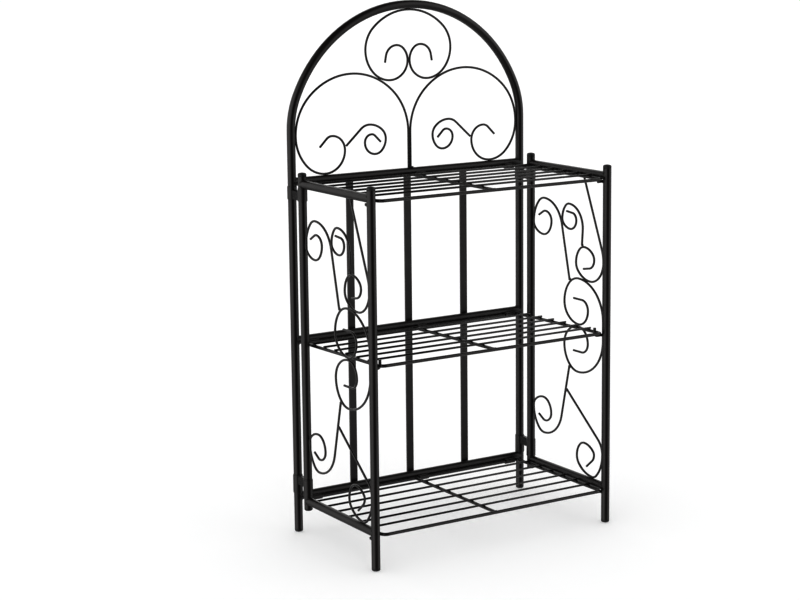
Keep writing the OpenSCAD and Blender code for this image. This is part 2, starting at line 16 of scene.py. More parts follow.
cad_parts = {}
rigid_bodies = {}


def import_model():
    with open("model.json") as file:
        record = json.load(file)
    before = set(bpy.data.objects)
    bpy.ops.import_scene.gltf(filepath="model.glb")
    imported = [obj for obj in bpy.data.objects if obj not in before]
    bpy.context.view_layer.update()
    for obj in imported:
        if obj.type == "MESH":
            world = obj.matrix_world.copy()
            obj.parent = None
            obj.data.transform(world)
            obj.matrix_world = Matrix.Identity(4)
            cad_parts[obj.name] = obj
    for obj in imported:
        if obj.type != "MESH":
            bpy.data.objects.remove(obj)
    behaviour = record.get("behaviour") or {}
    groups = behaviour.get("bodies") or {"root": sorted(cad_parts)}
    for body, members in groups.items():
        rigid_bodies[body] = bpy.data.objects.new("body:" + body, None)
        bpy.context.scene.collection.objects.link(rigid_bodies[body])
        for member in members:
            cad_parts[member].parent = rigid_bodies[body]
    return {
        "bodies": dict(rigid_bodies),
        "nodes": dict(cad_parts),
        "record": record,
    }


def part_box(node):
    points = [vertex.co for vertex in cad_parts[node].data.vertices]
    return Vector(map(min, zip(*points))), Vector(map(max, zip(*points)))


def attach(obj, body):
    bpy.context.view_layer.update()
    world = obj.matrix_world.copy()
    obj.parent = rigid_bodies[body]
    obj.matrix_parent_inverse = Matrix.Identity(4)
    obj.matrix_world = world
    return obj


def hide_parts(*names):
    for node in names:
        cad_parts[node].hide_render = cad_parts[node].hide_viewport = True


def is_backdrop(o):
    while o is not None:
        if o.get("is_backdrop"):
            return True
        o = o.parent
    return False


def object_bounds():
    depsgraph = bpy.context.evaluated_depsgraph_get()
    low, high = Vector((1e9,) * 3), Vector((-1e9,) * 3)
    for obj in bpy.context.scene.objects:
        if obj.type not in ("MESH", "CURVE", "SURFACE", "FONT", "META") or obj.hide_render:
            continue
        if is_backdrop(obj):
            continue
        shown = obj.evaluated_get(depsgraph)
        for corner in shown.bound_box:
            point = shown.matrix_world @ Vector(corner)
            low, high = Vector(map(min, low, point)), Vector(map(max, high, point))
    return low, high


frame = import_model()
cad_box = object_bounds()
nodes = frame["nodes"]
mm = 0.001
print("nodes in the frame:", len(nodes))

# %% [markdown]
# Every later size is read from the frame, so the details stay on their tubes and wires
# if the construction changes. A tube's radius is half of its box, and the places of the
# legs, rails and shelves are the middles of their boxes. A node can hold several solids,
# such as the six wires across a shelf, so a small helper merges a copy of its triangles,
# walks from point to point and gives the box of each solid by itself.

# %% Read the sizes
SIDES = ("left", "right")
SHELVES = ("top", "middle", "bottom")
same_point = 0.001 * mm


def middle_of(node):
    low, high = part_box(node)
    return (low + high) / 2


def span_of(node):
    low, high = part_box(node)
    return high - low


def solids_of(node):
    """Middle and size of each solid in a node, from left to right and bottom to top."""
    shape = bmesh.new()
    shape.from_mesh(nodes[node].data)
    bmesh.ops.remove_doubles(shape, verts=shape.verts, dist=same_point)
    waiting = set(shape.verts)
    found = []
    while waiting:
        island = [waiting.pop()]
        for point in island:
            for edge in point.link_edges:
                neighbour = edge.other_vert(point)
                if neighbour in waiting:
                    waiting.remove(neighbour)
                    island.append(neighbour)
        low = Vector([min(point.co[axis] for point in island) for axis in range(3)])
        high = Vector([max(point.co[axis] for point in island) for axis in range(3)])
        found.append(((low + high) / 2, high - low))
    shape.free()
    return sorted(found, key=lambda solid: [round(value, 5) for value in solid[0]])


tube_radius = span_of("left_front_leg").x / 2
arch_y = middle_of("back_top_rail").y
rail_z = {shelf: middle_of(f"back_{shelf}_rail").z for shelf in SHELVES}
leg_x = {side: middle_of(f"{side}_front_leg").x for side in SIDES}
rear_leg_y = middle_of("left_rear_leg").y
front_leg_y = middle_of("left_front_leg").y
scroll_radius = span_of("crown_scroll").y / 2
shelf_wire_radius = span_of("top_shelf_brace").x / 2
print("tube radius in mm:", round(tube_radius / mm, 2))
print("radius of a scroll's wire in mm:", round(scroll_radius / mm, 2))

# %% [markdown]
# The camera stands where the photographer stood: to the left of the front and a little
# above the top of the arch, looking slightly down. The place, the three angles and the
# focal length were worked out from the stand's own corners in the photograph. The picture
# seems to be cropped off centre, and a small downward shift of the lens repeats that.

# %% Place the camera
camera_place = Vector((-1.6659, -2.5094, 0.9474))
turned_right = math.radians(32.09)
tipped_down = math.radians(9.429)
rolled = math.radians(-0.653)
lens_mm = 88.23
lens_shift = -0.0625

camera_data = bpy.data.cameras.new("camera")
camera_data.sensor_width = 36
camera_data.lens = lens_mm
camera_data.shift_y = lens_shift
camera = bpy.data.objects.new("camera", camera_data)
bpy.context.scene.collection.objects.link(camera)
look = (
    Matrix.Rotation(-turned_right, 4, "Z")
    @ Matrix.Rotation(math.pi / 2 - tipped_down, 4, "X")
    @ Matrix.Rotation(rolled, 4, "Z")
)
camera.matrix_world = Matrix.Translation(camera_place) @ look
bpy.context.scene.camera = camera
print("camera to the stand's foot in metres:", round(camera_place.length, 2))

# %% [markdown]
# Materials are small node trees. One function turns a hex colour into the linear values
# that the shader works in, and one adds a node with its settings and links.

# %% Colour and node helpers


def linear_colour(hex_colour):
    """The linear values, with full alpha, of an sRGB colour such as #ffffff."""
    channels = [int(hex_colour[i : i + 2], 16) / 255 for i in (1, 3, 5)]
    linear = [c / 12.92 if c <= 0.04045 else ((c + 0.055) / 1.055) ** 2.4 for c in channels]
    return (*linear, 1.0)


def add_node(tree, kind, inputs=None, **settings):
    """Adds a node. An input is given as a value or as the socket that feeds it."""
    node = tree.nodes.new(kind)
    for name, value in settings.items():
        setattr(node, name, value)
    for key, value in (inputs or {}).items():
        if isinstance(value, bpy.types.NodeSocket):
            tree.links.new(value, node.inputs[key])
        else:
            node.inputs[key].default_value = value
    return node


def new_material(name):
    """An empty material and its node tree."""
    material = bpy.data.materials.new(name)
    material.use_nodes = True
    material.node_tree.nodes.clear()
    return material, material.node_tree


print("white in linear values:", linear_colour("#ffffff"))

# %% [markdown]
# The steel is powder coated in satin black. The powder melts into a skin of about 80
# micrometres that is never quite flat: it keeps a fine orange peel of about 1 mm, and a
# slower unevenness where the coat ran thick or thin. To the eye that is a near black
# with soft, slightly broken highlights. A small rise in roughness in slow patches and
# two layers of bump say the same, and a trace of dust greys what faces upwards. In the
# photograph a wire looks a little darker and glossier than a tube, and over the uneven
# metal of a weld a coat comes out duller, so each of them has its own values.

# %% Powder coat on tube and wire
thick_and_thin = 35 * mm
thick_and_thin_depth = 0.25 * mm
dust_from_facing_up = 0.55
dust_at_most = 0.55


def powder_coat(name, black, dusty, middle_roughness, peel_mm, peel_depth_mm):
    material, tree = new_material(name)
    place = add_node(tree, "ShaderNodeTexCoord").outputs["Object"]
    peel = add_node(
        tree, "ShaderNodeTexNoise",
        {"Vector": place, "Scale": 1 / (peel_mm * mm), "Detail": 2.0, "Roughness": 0.45},
    )
    patches = add_node(
        tree, "ShaderNodeTexNoise",
        {"Vector": place, "Scale": 1 / thick_and_thin, "Detail": 3.0, "Roughness": 0.55},
    )
    roughness = add_node(
        tree, "ShaderNodeMapRange",
        {"Value": patches.outputs["Fac"], "From Min": 0.3, "From Max": 0.7,
         "To Min": middle_roughness - 0.04, "To Max": middle_roughness + 0.05},
    )
    facing = add_node(tree, "ShaderNodeNewGeometry").outputs["Normal"]
    upward = add_node(tree, "ShaderNodeSeparateXYZ", {"Vector": facing})
    settled = add_node(
        tree, "ShaderNodeMapRange",
        {"Value": upward.outputs["Z"], "From Min": dust_from_facing_up, "From Max": 1.0,
         "To Min": 0.0, "To Max": dust_at_most},
    )
    dust = add_node(
        tree, "ShaderNodeMath",
        {0: settled.outputs["Result"], 1: patches.outputs["Fac"]}, operation="MULTIPLY",
    )
    colour = add_node(
        tree, "ShaderNodeMix",
        {"Factor": dust.outputs["Value"], 6: linear_colour(black), 7: linear_colour(dusty)},
        data_type="RGBA",
    )
    slow = add_node(
        tree, "ShaderNodeBump",
        {"Height": patches.outputs["Fac"], "Distance": thick_and_thin_depth,
         "Strength": 0.5},
    )
    fine = add_node(
        tree, "ShaderNodeBump",
        {"Height": peel.outputs["Fac"], "Distance": peel_depth_mm * mm, "Strength": 0.6,
         "Normal": slow.outputs["Normal"]},
    )
    shader = add_node(
        tree, "ShaderNodeBsdfPrincipled",
        {"Base Color": colour.outputs[2], "Roughness": roughness.outputs["Result"],
         "Normal": fine.outputs["Normal"], "IOR": 1.5},
    )
    add_node(tree, "ShaderNodeOutputMaterial", {"Surface": shader.outputs["BSDF"]})
    return material


tube_coat = powder_coat("satin_black_powder_coat_tube", "#161211", "#282422", 0.36, 1.1, 0.05)
wire_coat = powder_coat("satin_black_powder_coat_wire", "#130f0e", "#221f1d", 0.26, 0.9, 0.035)
weld_coat = powder_coat("powder_coat_over_weld_beads", "#141211", "#242220", 0.42, 0.7, 0.09)
print("coats:", tube_coat.name, wire_coat.name, weld_coat.name)

# %% [markdown]
# Caps and feet are injection moulded in black polyethylene. The mould was spark eroded,
# so the skin has an even grain and is duller than the coat. Most such grain is finer than
# the 0.45 mm drawn here, which is as coarse as it has to be to show from close by.
# Handling polishes the skin a little in slow patches.

# %% Moulded plastic
polished_patch = 8 * mm
grain_depth = 0.06 * mm


def moulded_plastic(name, black, grain_mm):
    material, tree = new_material(name)
    place = add_node(tree, "ShaderNodeTexCoord").outputs["Object"]
    grain = add_node(
        tree, "ShaderNodeTexVoronoi",
        {"Vector": place, "Scale": 1 / (grain_mm * mm)}, feature="SMOOTH_F1",
    )
    polish = add_node(
        tree, "ShaderNodeTexNoise",
        {"Vector": place, "Scale": 1 / polished_patch, "Detail": 2.0},
    )
    roughness = add_node(
        tree, "ShaderNodeMapRange",
        {"Value": polish.outputs["Fac"], "To Min": 0.46, "To Max": 0.66},
    )
    bump = add_node(
        tree, "ShaderNodeBump",
        {"Height": grain.outputs["Distance"], "Distance": grain_depth, "Strength": 0.5},
    )
    shader = add_node(
        tree, "ShaderNodeBsdfPrincipled",
        {"Base Color": linear_colour(black), "Roughness": roughness.outputs["Result"],
         "Normal": bump.outputs["Normal"], "IOR": 1.5},
    )
    add_node(tree, "ShaderNodeOutputMaterial", {"Surface": shader.outputs["BSDF"]})
    return material


plug_plastic = moulded_plastic("moulded_black_polyethylene", "#131313", 0.45)
print("plastic:", plug_plastic.name)

# %% [markdown]
# The construction's own pieces are already right in shape, so they only get their
# finish. The record says which slot each piece takes, and a slot has one material.

# %% Dress the construction
finish_of_slot = {"tube": tube_coat, "wire": wire_coat, "plug": plug_plastic}
slot_of = {row["node"]: row["material_slot"] for row in frame["record"]["subparts"]}
for name, node in nodes.items():
    node.data.materials.clear()
    node.data.materials.append(finish_of_slot[slot_of[name]])
print("pieces dressed:", len(nodes))

# %% [markdown]
# What repeats is made with Geometry Nodes. A tree gets its sizes as named inputs, and
# the helper grow() runs one on an object and keeps the result as a plain mesh, so that
# nothing live is left on the finished piece.

# %% Geometry Nodes helpers


def new_tree(name, inputs):
    """A tree with these inputs, given as name and kind, and the sockets they arrive at."""
    tree = bpy.data.node_groups.new(name, "GeometryNodeTree")
    tree.interface.new_socket("Geometry", in_out="INPUT", socket_type="NodeSocketGeometry")
    for label, kind in inputs.items():
        tree.interface.new_socket(label, in_out="INPUT", socket_type=f"NodeSocket{kind}")
    tree.interface.new_socket("Geometry", in_out="OUTPUT", socket_type="NodeSocketGeometry")
    return tree, add_node(tree, "NodeGroupInput").outputs


def close_tree(tree, geometry, material):
    """Ends a tree: copies made real, shaded smooth and given their material."""
    real = add_node(tree, "GeometryNodeRealizeInstances", {"Geometry": geometry})
    smooth = add_node(tree, "GeometryNodeSetShadeSmooth", {"Geometry": real.outputs[0]})
    coated = add_node(
        tree, "GeometryNodeSetMaterial", {"Geometry": smooth.outputs[0], "Material": material}
    )
    add_node(tree, "NodeGroupOutput", {"Geometry": coated.outputs[0]})


def new_piece(name, mesh):
    piece = bpy.data.objects.new(name, mesh)
    bpy.context.scene.collection.objects.link(piece)
    return piece


def grow(name, start_mesh, tree, values):
    """A piece whose mesh is what a tree makes of the start mesh with these values."""
    piece = new_piece(name, start_mesh)
    modifier = piece.modifiers.new(tree.name, "NODES")
    modifier.node_group = tree
    for item in tree.interface.items_tree:
        if item.in_out == "INPUT" and item.name in values:
            modifier[item.identifier] = values[item.name]
    view = bpy.context.evaluated_depsgraph_get()
    grown = bpy.data.meshes.new_from_object(piece.evaluated_get(view))
    piece.modifiers.remove(modifier)
    piece.data = grown
    grown.name = name
    return piece


# %% [markdown]
# A shelf is filled by six thin wires that lie across the side wires. They were cropped
# before coating, so their ends are flat with a softened rim. The tree starts from a ball
# with its poles along X, whose two middle rings are drawn apart to the wire's length and
# whose ends are pressed flat, and sets one copy on each point of a line.

# %% Wires across the shelves
ball_rings = 11
ball_sides = 20
end_flatness = 0.35


def shelf_wire_tree():
    tree, given = new_tree(
        "wires across a shelf",
        {"Count": "Int", "Step": "Vector", "First": "Vector", "Length": "Float",
         "Radius": "Float", "End flatness": "Float", "Material": "Material"},
    )
    ball = add_node(
        tree, "GeometryNodeMeshUVSphere",
        {"Segments": ball_sides, "Rings": ball_rings, "Radius": 1.0},
    )
    laid = add_node(
        tree, "GeometryNodeTransform",
        {"Geometry": ball.outputs[0], "Rotation": (0, math.pi / 2, 0)},
    )
    place = add_node(tree, "GeometryNodeInputPosition").outputs[0]
    parts = add_node(tree, "ShaderNodeSeparateXYZ", {"Vector": place})
    which_end = add_node(tree, "ShaderNodeMath", {0: parts.outputs["X"]}, operation="SIGN")
    dome = add_node(
        tree, "ShaderNodeMath", {0: given["Radius"], 1: given["End flatness"]},
        operation="MULTIPLY",
    )
    half = add_node(
        tree, "ShaderNodeMath", {0: given["Length"], 1: 0.5}, operation="MULTIPLY"
    )
    barrel = add_node(
        tree, "ShaderNodeMath", {0: half.outputs[0], 1: dome.outputs[0]}, operation="SUBTRACT"
    )
    bulge = add_node(
        tree, "ShaderNodeMath", {0: parts.outputs["X"], 1: dome.outputs[0]},
        operation="MULTIPLY",
    )
    along = add_node(
        tree, "ShaderNodeMath",
        {0: which_end.outputs[0], 1: barrel.outputs[0], 2: bulge.outputs[0]},
        operation="MULTIPLY_ADD",
    )
    # The ball has no ring at its equator, so its widest ones are brought to the radius.
    widest = math.sin(math.pi * (ball_rings - 1) / 2 / ball_rings)
    scaled = add_node(
        tree, "ShaderNodeMath", {0: given["Radius"], 1: widest}, operation="DIVIDE"
    )
    across = add_node(
        tree, "ShaderNodeMath", {0: parts.outputs["Y"], 1: scaled.outputs[0]},
        operation="MULTIPLY",
    )
    upward = add_node(
        tree, "ShaderNodeMath", {0: parts.outputs["Z"], 1: scaled.outputs[0]},
        operation="MULTIPLY",
    )
    drawn = add_node(
        tree, "ShaderNodeCombineXYZ",
        {"X": along.outputs[0], "Y": across.outputs[0], "Z": upward.outputs[0]},
    )
    wire = add_node(
        tree, "GeometryNodeSetPosition",
        {"Geometry": laid.outputs[0], "Position": drawn.outputs[0]},
    )
    line = add_node(
        tree, "GeometryNodeMeshLine",
        {"Count": given["Count"], "Start Location": given["First"], "Offset": given["Step"]},
    )
    wires = add_node(
        tree, "GeometryNodeInstanceOnPoints",
        {"Points": line.outputs[0], "Instance": wire.outputs[0]},
    )
    close_tree(tree, wires.outputs[0], given["Material"])
    return tree


wire_tree = shelf_wire_tree()
crossings = {}
for shelf in SHELVES:
    solids = solids_of(f"{shelf}_shelf_cross_wires")
    crossings[shelf] = [middle for middle, size in solids]
    length, thickness = solids[0][1].x, solids[0][1].y
    count = len(solids)
    wires = grow(
        f"{shelf}_shelf_wires", bpy.data.meshes.new("start"), wire_tree,
        {"Count": count, "First": crossings[shelf][0],
         "Step": (crossings[shelf][-1] - crossings[shelf][0]) / (count - 1),
         "Length": length, "Radius": thickness / 2, "End flatness": end_flatness,
         "Material": wire_coat},
    )
    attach(wires, f"{shelf}_shelf")
    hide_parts(f"{shelf}_shelf_cross_wires")
    print(wires.name, "wires:", count, "faces:", len(wires.data.polygons))

# %% [markdown]
# Each tube end is closed by a moulded plug. Its head has a rim as wide as the tube, a
# shallow dome, a fine shadow line where it meets the tube and the small sunk mark that
# the mould's gate leaves in the middle. It is a turned shape, so half of its outline,
# spun round the axis, makes it. The part that hides inside the tube is a plain shank.

# %% Caps and feet
plug_steps = 48
shank_length = 8 * mm
shank_gap = 1.5 * mm
head_corner = 2.4 * mm
head_dome = 0.7 * mm
gate_mark_depth = 0.3 * mm


def plug_outline(head):
    """Half outline of a plug as (radius, height above the tube's end) in metres."""
    rim = tube_radius
    shank = [(0, -shank_length), (rim - shank_gap, -shank_length), (rim - shank_gap, -0.1 * mm)]
    shadow_line = [(rim - 0.9 * mm, 0.05 * mm), (rim - 0.25 * mm, 0.1 * mm)]
    lip = [(rim, 0.45 * mm)]
    edge = head - head_dome - head_corner
    corner = [
        (rim - head_corner + head_corner * math.cos(math.radians(a)),
         edge + head_corner * math.sin(math.radians(a)))
        for a in range(0, 91, 15)
    ]
    flat = corner[-1][0]
    crown = [
        (flat * (1 - t / 5), head - head_dome + head_dome * math.sin(math.pi / 2 * t / 5))
        for t in range(1, 4)
    ]
    bottom = head - gate_mark_depth
    gate_mark = [(0.9 * mm, head - 0.05 * mm), (0.8 * mm, bottom), (0.25 * mm, bottom), (0, bottom)]
    return shank + shadow_line + lip + corner + crown + gate_mark


def turned_mesh(outline, place, direction, material, steps):
    """A half outline of (radius, height) spun round a direction, standing on a place."""
    shape = bmesh.new()
    chain = [shape.verts.new((radius, 0, height)) for radius, height in outline]
    edges = [shape.edges.new(pair) for pair in zip(chain, chain[1:])]
    bmesh.ops.spin(
        shape, geom=chain + edges, axis=(0, 0, 1), cent=(0, 0, 0),
        steps=steps, angle=2 * math.pi, use_merge=True,
    )
    bmesh.ops.remove_doubles(shape, verts=shape.verts, dist=0.01 * mm)
    bmesh.ops.recalc_face_normals(shape, faces=shape.faces)
    turn = direction.to_track_quat("Z", "Y").to_matrix().to_4x4()
    bmesh.ops.transform(shape, matrix=Matrix.Translation(place) @ turn, verts=shape.verts)
    for face in shape.faces:
        face.smooth = True
    mesh = bpy.data.meshes.new("turned")
    shape.to_mesh(mesh)
    shape.free()
    mesh.materials.append(material)
    return mesh


def joined(name, meshes):
    """One piece made of several meshes of the same material."""
    shape = bmesh.new()
    for mesh in meshes:
        shape.from_mesh(mesh)
    whole = bpy.data.meshes.new(name)
    shape.to_mesh(whole)
    shape.free()
    whole.materials.append(meshes[0].materials[0])
    return new_piece(name, whole)


plug_places = {}
for side in SIDES:
    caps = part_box(f"{side}_leg_caps")
    tube_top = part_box(f"{side}_front_leg")[1].z
    plug_places[f"{side}_leg_caps"] = (
        f"{side}_panel", 1, caps[1].z - tube_top,
        [Vector((leg_x[side], y, tube_top)) for y in (rear_leg_y, front_leg_y)],
    )
    for node, body, y, tube in (
        (f"{side}_arch_foot", "back_frame", arch_y, "arch_tube"),
        (f"{side}_front_foot", f"{side}_panel", front_leg_y, f"{side}_front_leg"),
        (f"{side}_rear_leg_plug", f"{side}_panel", rear_leg_y, f"{side}_rear_leg"),
    ):
        tube_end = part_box(tube)[0].z
        head = tube_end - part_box(node)[0].z
        plug_places[node] = (body, -1, head, [Vector((leg_x[side], y, tube_end))])

for node, (body, upward, head, places) in plug_places.items():
    outline = plug_outline(head)
    direction = Vector((0, 0, upward))
    heads = [turned_mesh(outline, place, direction, plug_plastic, plug_steps) for place in places]
    piece = joined(f"{node}_moulded", heads)
    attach(piece, body)
    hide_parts(node)
print("plugs:", sum(len(places) for body, upward, head, places in plug_places.values()))

# %% [markdown]
# Three pegs of round wire are welded behind each front leg, and the shelves rest on them.
# The top and the bottom one are straight, and the photograph shows them a little shorter
# than the construction has them. The middle one turns up round the shelf's side wire,
# like a small hook, and keeps the panel and the shelf together. Each is a ring of points
# carried along a path in an upright plane, and the ring shrinks a little at both ends,
# where the cut edge was softened.

# %% Pegs and hooks under the shelves
wire_sides = 20
# How far in from a cut end, and how much of the wire's radius is left there.
softened = ((0.0, 0.8), (0.12 * mm, 0.93), (0.4 * mm, 1.0))
hook_rise = 8.0 * mm
hook_steps = 10
outer_trim = 2.0 * mm
inner_trim = 3.0 * mm


def swept_wire(shape, path, radius):
    """Adds a round wire along a path in a plane square to Y, with softened ends."""
    across = Vector((0, 1, 0))
    last = len(path) - 1
    rings = []
    for i, point in enumerate(path):
        along = (path[min(i + 1, last)] - path[max(i - 1, 0)]).normalized()
        upward = along.cross(across)
        shrink = [(0.0, 1.0)]
        if i == 0:
            shrink = softened
        if i == last:
            shrink = [(-inset, share) for inset, share in reversed(softened)]
        for inset, share in shrink:
            turns = [2 * math.pi * k / wire_sides for k in range(wire_sides)]
            rings.append([
                shape.verts.new(
                    point + along * inset
                    + radius * share * (math.cos(a) * across + math.sin(a) * upward)
                )
                for a in turns
            ])
    for one, two in zip(rings, rings[1:]):
        for k in range(wire_sides):
            after = (k + 1) % wire_sides
            shape.faces.new((one[k], one[after], two[after], two[k])).smooth = True
    shape.faces.new(rings[0])
    shape.faces.new(rings[-1])


def hook_path(outer, wire):
    """From the leg under the shelf's wire and up on its other side."""
    inward = -1 if outer.x > 0 else 1
    bend = wire.z - outer.z
    points = [outer]
    for step in range(hook_steps + 1):
        turn = math.pi / 2 * step / hook_steps
        points.append(wire + bend * Vector((inward * math.sin(turn), 0, -math.cos(turn))))
    return points + [points[-1] + Vector((0, 0, hook_rise))]


# The middle shelf rises a little towards its front, and its side wires with it.
low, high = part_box("middle_shelf_frame")
hooked_x = high.x - shelf_wire_radius
slope = (high.z - low.z - 2 * shelf_wire_radius) / (high.y - low.y - 2 * shelf_wire_radius)
peg_roots = {}
for side in SIDES:
    outward = Vector((1 if side == "right" else -1, 0, 0))
    pegs = sorted(solids_of(f"{side}_shelf_pegs"), key=lambda solid: solid[0].z)
    shape = bmesh.new()
    peg_roots[side] = []
    for level, (middle, size) in zip(("bottom", "middle", "top"), pegs):
        outer = middle + outward * size.x / 2
        inner = middle - outward * size.x / 2
        if level == "middle":
            wire_z = low.z + shelf_wire_radius + slope * (high.y - shelf_wire_radius - middle.y)
            path = hook_path(outer, Vector((outward.x * hooked_x, middle.y, wire_z)))
        else:
            path = [outer - outward * outer_trim, inner + outward * inner_trim]
        swept_wire(shape, path, size.z / 2)
        peg_roots[side].append((path[0], size.z / 2))
    bmesh.ops.recalc_face_normals(shape, faces=shape.faces)
    mesh = bpy.data.meshes.new("pegs")
    shape.to_mesh(mesh)
    shape.free()
    mesh.materials.append(tube_coat)
    piece = new_piece(f"{side}_pegs_and_hook", mesh)
    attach(piece, f"{side}_panel")
    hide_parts(f"{side}_shelf_pegs")
    print(piece.name, "pegs:", len(pegs), "faces:", len(mesh.polygons))

# %% [markdown]
# Scroll wire is sheared to length before it is bent, and the coat rounds the sharp rim of
# the cut. Each end in the construction is a flat disc. Joining all triangles that lie in
# one plane leaves it as a single face with the area of the wire's section, and no corner
# of it lies further out than the wire's skin. Each such face gets a low button with a
# rounded rim.

# %% Cut ends of the scroll wires
button_height = 0.4 * mm
button_root = 0.3 * mm
button_steps = 20
section_area = math.pi * scroll_radius ** 2
same_plane = math.radians(0.5)
least_area = 0.85 * section_area
furthest_corner = 1.1 * scroll_radius


def cut_ends(node):
    """Middle and outward direction of each flat end of a scroll."""
    shape = bmesh.new()
    shape.from_mesh(nodes[node].data)
    bmesh.ops.remove_doubles(shape, verts=shape.verts, dist=same_point)
    bmesh.ops.dissolve_limit(
        shape, angle_limit=same_plane, verts=shape.verts, edges=shape.edges,
    )
    ends = []
    for face in shape.faces:
        middle = face.calc_center_median()
        reach = max((corner.co - middle).length for corner in face.verts)
        if face.calc_area() > least_area and reach < furthest_corner:
            ends.append((middle, face.normal.copy()))
    shape.free()
    return ends


button_outline = [(scroll_radius, -button_root)] + [
    (scroll_radius - button_height * (1 - math.cos(math.radians(a))),
     button_height * math.sin(math.radians(a)))
    for a in range(0, 91, 30)
] + [(0, button_height)]
for body, names in frame["record"]["behaviour"]["bodies"].items():
    buttons = [
        turned_mesh(button_outline, place, direction, wire_coat, button_steps)
        for node in names if node.endswith("_scroll")
        for place, direction in cut_ends(node)
    ]
    if buttons:
        ends = joined(f"{body}_wire_ends", buttons)
        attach(ends, body)
        print(ends.name, "ends:", len(buttons))

# %% [markdown]
# Everything on the stand is welded. A weld bead is a row of overlapping lumps, one for
# each pulse of the torch, and the coat rounds them off. The tree follows any path, turns
# it into evenly spaced points and sets a slightly stretched ball on each, a little
# larger or smaller every time. There are many hundreds of lumps, so each has only a few
# faces. The bead's radius is carried by the path itself.

# %% Weld beads, as a tree
lump_pitch = 0.85 * mm
lump_segments = 8
lump_rings = 5
# A ball of so few faces lies a little inside its radius, which this makes up for.
lump_radius = 1.04
lump_stretch = 1.25
smallest_lump = 0.88
largest_lump = 1.1
weld_seed = 7


def weld_tree():
    tree, given = new_tree(
        "weld bead along a path", {"Pitch": "Float", "Seed": "Int", "Material": "Material"}
    )
    path = add_node(tree, "GeometryNodeMeshToCurve", {"Mesh": given["Geometry"]})
    points = add_node(
        tree, "GeometryNodeCurveToPoints",
        {"Curve": path.outputs[0], "Length": given["Pitch"]}, mode="LENGTH",
    )
    lump = add_node(
        tree, "GeometryNodeMeshUVSphere",
        {"Segments": lump_segments, "Rings": lump_rings, "Radius": lump_radius},
    )
    stretched = add_node(
        tree, "GeometryNodeTransform",
        {"Geometry": lump.outputs[0], "Scale": (1.0, 1.0, lump_stretch)},
    )
    radius = add_node(
        tree, "GeometryNodeInputNamedAttribute", {"Name": "bead_radius"}, data_type="FLOAT"
    )
    vary = add_node(
        tree, "FunctionNodeRandomValue",
        {2: smallest_lump, 3: largest_lump, "Seed": given["Seed"]}, data_type="FLOAT",
    )
    size = add_node(
        tree, "ShaderNodeMath", {0: radius.outputs[0], 1: vary.outputs[1]},
        operation="MULTIPLY",
    )
    lumps = add_node(
        tree, "GeometryNodeInstanceOnPoints",
        {"Points": points.outputs["Points"], "Instance": stretched.outputs[0],
         "Rotation": points.outputs["Rotation"], "Scale": size.outputs[0]},
    )
    close_tree(tree, lumps.outputs[0], given["Material"])
    return tree


bead_tree = weld_tree()
bead_paths = {body: [] for body in frame["bodies"]}


def bead(body, points, radius):
    """Notes a bead of this radius along the points, on a body."""
    bead_paths[body].append((points, radius))


def print_beads(what):
    print(what, "beads so far:", sum(len(paths) for paths in bead_paths.values()))


# %% [markdown]
# A rail is notched to fit round the leg that it meets, so the seam between them is a
# saddle: seen from the end of the rail it is a circle, and seen from above it follows
# the leg. The welder closes the upper and the lower half and leaves the sides.

# %% Seams of the rails
rail_bead = 1.0 * mm
# Where the seam's upper and lower half start and end, in degrees round the rail.
upper_and_lower_half = ((28, 152), (208, 332))
saddle_steps = 14


def saddle_seam(leg_place, rail_direction, first_deg, last_deg):
    """Where a rail's skin meets the leg's, between two angles round the rail."""
    across = Vector((0, 0, 1)).cross(rail_direction)
    points = []
    for step in range(saddle_steps + 1):
        angle = math.radians(first_deg + (last_deg - first_deg) * step / saddle_steps)
        beside = tube_radius * math.cos(angle)
        above = tube_radius * math.sin(angle)
        out = math.sqrt(tube_radius ** 2 - beside ** 2)
        points.append(leg_place + rail_direction * out + across * beside + Vector((0, 0, above)))
    return points


def weld_rail(body, leg_place, rail_direction):
    for first, last in upper_and_lower_half:
        bead(body, saddle_seam(leg_place, rail_direction, first, last), rail_bead)


for side in SIDES:
    inward = Vector((-1 if side == "right" else 1, 0, 0))
    for shelf in SHELVES:
        weld_rail("back_frame", Vector((leg_x[side], arch_y, rail_z[shelf])), inward)
    for shelf in ("top", "bottom"):
        z = middle_of(f"{side}_panel_{shelf}_rail").z
        weld_rail(f"{side}_panel", Vector((leg_x[side], rear_leg_y, z)), Vector((0, -1, 0)))
        weld_rail(f"{side}_panel", Vector((leg_x[side], front_leg_y, z)), Vector((0, 1, 0)))
print_beads("rails done,")

# %% [markdown]
# The flat bars lie behind the rails and the hinge sleeves in front of them, each touching
# along one line. A bead fills the groove above that line and another the one below it.
# The groove runs along the rail, so a level path at the right height is all it needs.

# %% Seams of the bars and sleeves
bar_bead = 0.95 * mm
bar_groove_rise = 2.6 * mm
bar_groove_depth = 0.4 * mm
sleeve_bead = 0.8 * mm
sleeve_groove_rise = 2.1 * mm
sleeve_end_left_bare = 2 * mm


def level_bead(body, middle, length, radius):
    half = Vector((length / 2, 0, 0))
    bead(body, [middle - half, middle + half], radius)


groove_y = arch_y + tube_radius - bar_groove_depth
for bar in ("left_flat_bar", "centre_flat_bar", "right_flat_bar"):
    seam = span_of(bar).x - 2 * bar_bead
    for shelf in SHELVES:
        for lift in (-bar_groove_rise, bar_groove_rise):
            groove = Vector((middle_of(bar).x, groove_y, rail_z[shelf] + lift))
            level_bead("back_frame", groove, seam, bar_bead)

